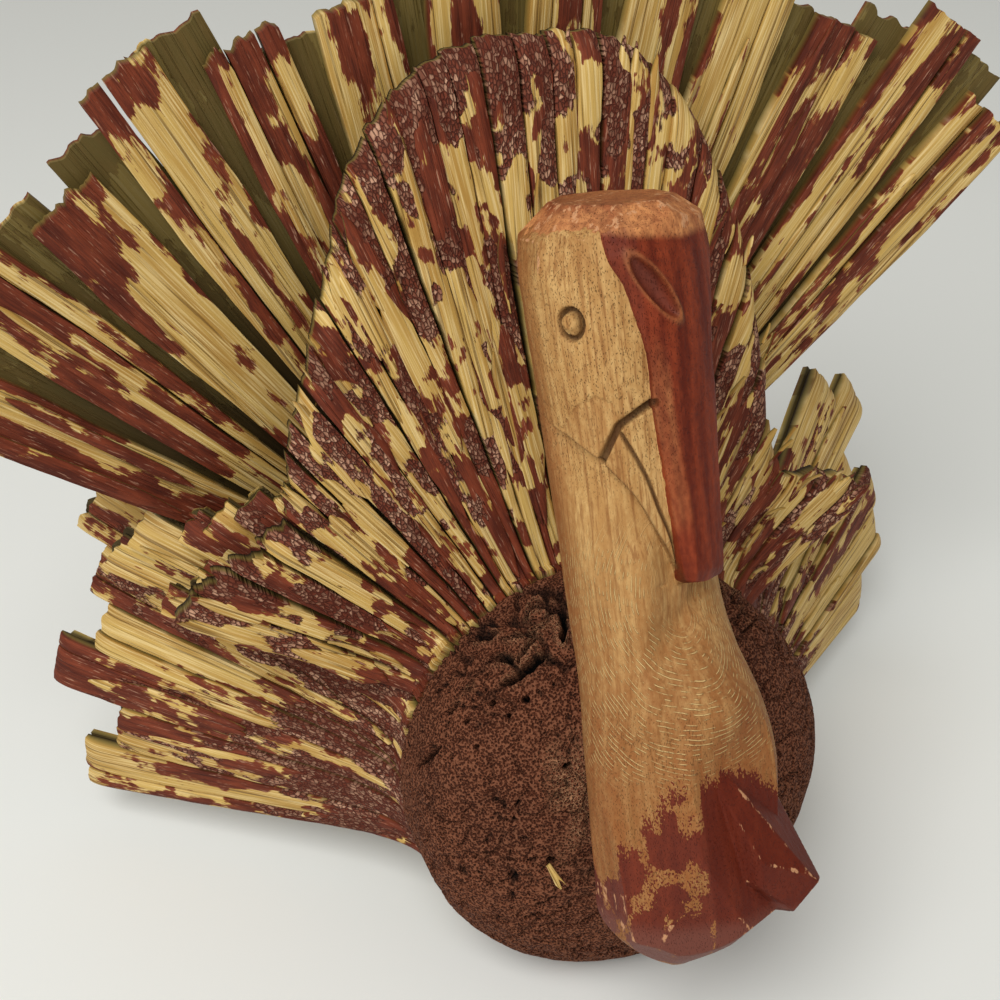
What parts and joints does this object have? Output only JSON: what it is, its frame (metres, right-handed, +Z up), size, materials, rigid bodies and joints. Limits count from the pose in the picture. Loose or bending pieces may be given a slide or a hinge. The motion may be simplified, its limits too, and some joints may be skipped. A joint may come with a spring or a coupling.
{
  "type": "thanksgiving turkey figure",
  "caption": "Table figure of a turkey: carved wooden head and neck on a bound bundle of dried leaf stalks that spread into a cape, wings and an upright tail fan.",
  "frame": {"origin": "on the table under the breast, in the plane of symmetry, on the flat cut under the breast", "axes": "+Z up, -Y the way the bird faces, +X the bird's left"},
  "size_m": [0.2792, 0.1618, 0.2348],
  "materials": {
    "end_grain": "spongy leaf-butt end grain under a dull brown wash",
    "carved_wood": "knife-carved pale hardwood with worn red-brown paint on crown, snood and wattle",
    "peg_wood": "plain turned peg, hidden",
    "binding_wire": "dull soft iron wire, hidden",
    "cape_leaf": "dried leaf stalk, red-brown paint sanded back to straw",
    "wing_leaf": "dried leaf stalk, red-brown paint sanded back to straw",
    "tail_leaf": "long dried leaf strips, straw with red-brown paint left in patches",
    "base_leaf": "bare dried leaf strips"
  },
  "bodies": {
    "root": {"breast_core": "end_grain", "carved_head": "carved_wood", "head_peg": "peg_wood", "binding_wire": "binding_wire", "cape_leaf_01": "cape_leaf", "cape_leaf_02": "cape_leaf", "cape_leaf_03": "cape_leaf", "cape_leaf_04": "cape_leaf", "cape_leaf_05": "cape_leaf", "cape_leaf_06": "cape_leaf", "cape_leaf_07": "cape_leaf", "cape_leaf_08": "cape_leaf", "cape_leaf_09": "cape_leaf", "cape_leaf_10": "cape_leaf", "cape_leaf_11": "cape_leaf", "cape_leaf_12": "cape_leaf", "cape_leaf_13": "cape_leaf", "right_wing_leaf_01": "wing_leaf", "left_wing_leaf_01": "wing_leaf", "right_wing_leaf_02": "wing_leaf", "left_wing_leaf_02": "wing_leaf", "right_wing_leaf_03": "wing_leaf", "left_wing_leaf_03": "wing_leaf", "right_wing_leaf_04": "wing_leaf", "left_wing_leaf_04": "wing_leaf", "right_wing_leaf_05": "wing_leaf", "left_wing_leaf_05": "wing_leaf", "right_wing_leaf_06": "wing_leaf", "left_wing_leaf_06": "wing_leaf", "tail_front_leaf_01": "tail_leaf", "tail_front_leaf_02": "tail_leaf", "tail_front_leaf_03": "tail_leaf", "tail_front_leaf_04": "tail_leaf", "tail_front_leaf_05": "tail_leaf", "tail_front_leaf_06": "tail_leaf", "tail_front_leaf_07": "tail_leaf", "tail_front_leaf_08": "tail_leaf", "tail_front_leaf_09": "tail_leaf", "tail_front_leaf_10": "tail_leaf", "tail_front_leaf_11": "tail_leaf", "tail_front_leaf_12": "tail_leaf", "tail_front_leaf_13": "tail_leaf", "tail_back_leaf_01": "tail_leaf", "tail_back_leaf_02": "tail_leaf", "tail_back_leaf_03": "tail_leaf", "tail_back_leaf_04": "tail_leaf", "tail_back_leaf_05": "tail_leaf", "tail_back_leaf_06": "tail_leaf", "tail_back_leaf_07": "tail_leaf", "tail_back_leaf_08": "tail_leaf", "tail_back_leaf_09": "tail_leaf", "tail_back_leaf_10": "tail_leaf", "tail_back_leaf_11": "tail_leaf", "tail_back_leaf_12": "tail_leaf", "base_leaf_01": "base_leaf", "base_leaf_02": "base_leaf", "base_leaf_03": "base_leaf", "base_leaf_04": "base_leaf", "base_leaf_05": "base_leaf"}
  },
  "joints": []
}
